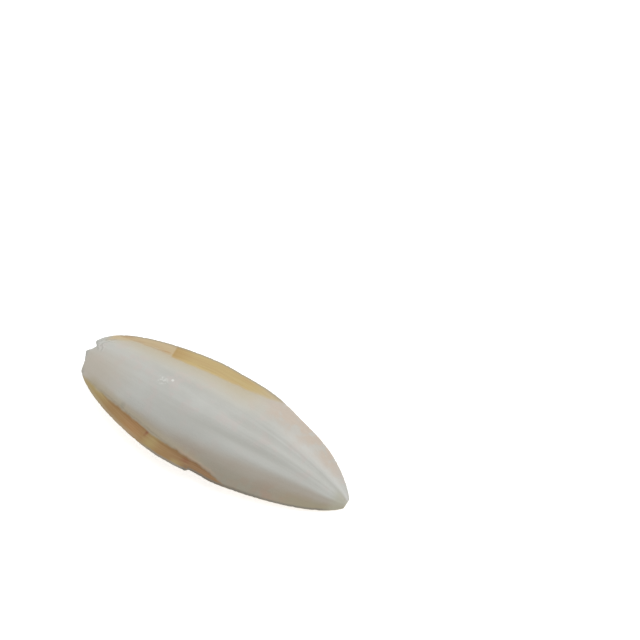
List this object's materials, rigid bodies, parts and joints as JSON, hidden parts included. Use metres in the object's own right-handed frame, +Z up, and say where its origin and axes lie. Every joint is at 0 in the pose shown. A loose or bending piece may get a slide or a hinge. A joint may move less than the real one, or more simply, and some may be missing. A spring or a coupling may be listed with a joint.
{
  "type": "cuttlebone",
  "caption": "Long oval cuttlebone: a domed chalky back with low ribs, thin horny rims along both sides, and a humped belly with an arched ledge.",
  "frame": {"origin": "on the resting surface, under the middle of the bone's box", "axes": "+Z up through the domed back; +X from the broad front end to the narrow rear end; +Y to the margin that isn't chipped"},
  "size_m": [0.15, 0.0578, 0.0176],
  "materials": {
    "bone": "dry chalky matt, with amber horny rims along both sides"
  },
  "bodies": {
    "root": {"cuttlebone": "bone"}
  },
  "joints": []
}
